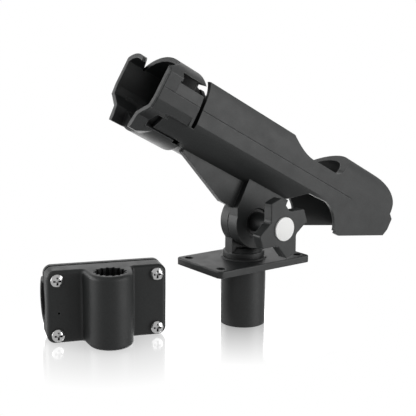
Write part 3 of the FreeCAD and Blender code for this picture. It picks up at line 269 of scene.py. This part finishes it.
def pressed_friction_fibre():
    """Pressed fibre friction disc: dull brown-grey with short pale fibres."""
    made, tree, shader, place = new_material("pressed_friction_fibre")
    stretch = node(tree, "Mapping", {"Vector": place, "Scale": (1.0, 1.0, 5.0)})
    fibre = node(tree, "TexNoise", {"Vector": stretch, "Scale": PER_MM / 1.2, "Detail": 3.0,
                                    "Roughness": 0.7})
    fibre = node(tree, "MapRange", {"Value": fibre, "From Min": 0.45, "From Max": 0.62})
    base = node(tree, "Mix", {MIX_FACTOR: fibre, MIX_FIRST: linear("#3b342c"), MIX_SECOND: linear("#6d6151")},
                MIX_RESULT, data_type="RGBA")
    bump = node(tree, "Bump", {"Strength": 0.4, "Distance": 0.08 * MM, "Height": fibre})
    roughness = node(tree, "MapRange", {"Value": fibre, "To Min": 0.78, "To Max": 0.9})
    fill(shader, {"Base Color": base, "Roughness": roughness, "Normal": bump})
    return made


def moulded_rubber():
    """Moulded EPDM rubber: matt near-black with a dusty bloom."""
    made, tree, shader, place = new_material("moulded_epdm_rubber")
    bloom = node(tree, "TexNoise", {"Vector": place, "Scale": PER_MM / 4.0, "Detail": 4.0})
    bloom = node(tree, "MapRange", {"Value": bloom, "From Min": 0.4, "From Max": 0.7})
    base = node(tree, "Mix", {MIX_FACTOR: bloom, MIX_FIRST: linear("#151515"), MIX_SECOND: linear("#222222")},
                MIX_RESULT, data_type="RGBA")
    pitting = node(tree, "TexNoise", {"Vector": place, "Scale": PER_MM / 0.6})
    bump = node(tree, "Bump", {"Strength": 0.3, "Distance": 0.06 * MM, "Height": pitting})
    roughness = node(tree, "MapRange", {"Value": bloom, "To Min": 0.7, "To Max": 0.85})
    fill(shader, {"Base Color": base, "Roughness": roughness, "Normal": bump})
    return made


finishes = {
    "nylon": glass_filled_nylon(),
    "stainless": turned_stainless_steel(),
    "friction": pressed_friction_fibre(),
    "acetal": black_acetal(),
    "brass": machined_brass(),
    "cap": white_acetal_cap(),
    "rubber": moulded_rubber(),
    "screws": bright_plated_steel(),
}


def finish_cad_nodes():
    """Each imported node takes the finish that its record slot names."""
    slots = {part["node"]: part["material_slot"] for part in frame["record"]["subparts"]}
    for name, piece in frame["nodes"].items():
        for spot in piece.material_slots:
            spot.material = finishes[slots[name]]


# ---- studio
def mirror_near(tree, place, foot, strength):
    """Reflection strength on the floor: greatest at the foot of one piece, zero at MIRROR_REACH from it."""
    low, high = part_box(foot)
    centre = ((low[0] + high[0]) / 2, (low[1] + high[1]) / 2, FLOOR_LEVEL)
    away = node(tree, "VectorMath", {0: place, 1: centre}, "Value", operation="DISTANCE")
    return node(tree, "MapRange", {"Value": away, "From Max": MIRROR_REACH,
                                   "To Min": strength, "To Max": 0.0})


def gloss_white_board():
    """Gloss board that glows white, mirrors the feet softly and has a painted contact shadow, a little darker
    where they touch it.

    Where it mirrors, its glow gives up the light that mirrored surroundings add, so bare board stays white.
    """
    made = bpy.data.materials.new("gloss_white_board")
    made.use_nodes = True
    tree = made.node_tree
    tree.nodes.clear()
    place = node(tree, "TexCoord", output="Object")
    feet = [mirror_near(tree, place, foot, strength) for foot, strength in FOOT_MIRRORS]
    gloss = node(tree, "Math", dict(enumerate(feet)), operation="MAXIMUM")
    plain = node(tree, "Math", {0: gloss, 1: -AMBIENT, 2: 1.0}, operation="MULTIPLY_ADD")
    # painted contact shadow: the board's glow is dimmed where the feet are near
    foot_occlusion = node(tree, "AmbientOcclusion", {"Distance": CONTACT_REACH}, "AO", samples=8)
    painted_contact_shadow = node(tree, "MapRange", {"Value": foot_occlusion, "From Max": 0.9, "To Min": CONTACT_SHADE})
    strength = node(tree, "Math", {0: plain, 1: painted_contact_shadow}, operation="MULTIPLY")
    glow = node(tree, "Emission", {"Strength": strength})
    mirror = node(tree, "BsdfAnisotropic", {"Color": gloss, "Roughness": MIRROR_ROUGHNESS})
    node(tree, "OutputMaterial", {"Surface": node(tree, "AddShader", {0: glow, 1: mirror})})
    return made


def make_floor():
    """A large level sheet under the object that only the camera sees, so it throws no light back."""
    corners = [(x * FLOOR_HALF, y * FLOOR_HALF, FLOOR_LEVEL) for x, y in ((-1, -1), (1, -1), (1, 1), (-1, 1))]
    data = bpy.data.meshes.new("floor")
    data.from_pydata(corners, [], [(0, 1, 2, 3)])
    data.materials.append(gloss_white_board())
    floor = add_object("floor", data)
    floor.visible_diffuse = floor.visible_glossy = floor.visible_shadow = False


def softbox(name, azimuth, elevation, distance, side, power):
    """A square area light that faces AIM from that direction, hidden from the camera."""
    data = bpy.data.lights.new(name, "AREA")
    data.shape, data.size, data.energy = "SQUARE", side, power
    lamp = add_object(name, data)
    lamp.matrix_world = facing(AIM, direction(azimuth, elevation), distance)
    lamp.visible_camera = False


def make_studio():
    """The camera sees white surroundings; the object is lit by their dimmer glow and by the soft boxes."""
    make_floor()
    world = bpy.data.worlds.new("studio")
    bpy.context.scene.world = world
    world.use_nodes = True
    tree = world.node_tree
    tree.nodes.clear()
    seen = node(tree, "Background", {"Color": linear("#ffffff"), "Strength": 1.0})
    ambient = node(tree, "Background", {"Color": linear("#ffffff"), "Strength": AMBIENT})
    straight = node(tree, "LightPath", output="Is Camera Ray")
    node(tree, "OutputWorld", {"Surface": node(tree, "MixShader", {0: straight, 1: ambient, 2: seen})})
    for box in SOFTBOXES:
        softbox(*box)
    bpy.context.scene.view_settings.view_transform = "Standard"


make_camera()
make_studio()
finish_cad_nodes()
